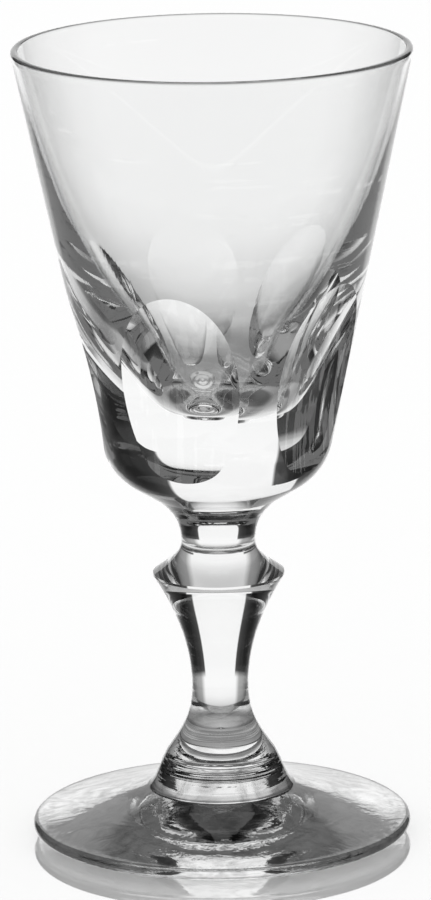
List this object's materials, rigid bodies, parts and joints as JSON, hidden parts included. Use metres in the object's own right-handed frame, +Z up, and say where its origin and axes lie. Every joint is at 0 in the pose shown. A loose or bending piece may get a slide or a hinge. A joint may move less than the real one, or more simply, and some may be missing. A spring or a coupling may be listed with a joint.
{
  "type": "liqueur glass",
  "caption": "Stemmed clear glass with a tapering bowl on a thick solid base, hollow facets round the lower bowl, a sharp-edged knop and a round foot.",
  "frame": {"origin": "centre of the foot, on the table that the glass stands on", "axes": "+Z up the glass's axis towards the rim; -Y is the front, the side that the picture shows"},
  "size_m": [0.0496, 0.0496, 0.1],
  "materials": {
    "clear_glass": "fire-polished, with polished cut facets"
  },
  "bodies": {
    "root": {"bowl": "clear_glass", "neck": "clear_glass", "stem": "clear_glass", "foot": "clear_glass"}
  },
  "joints": []
}
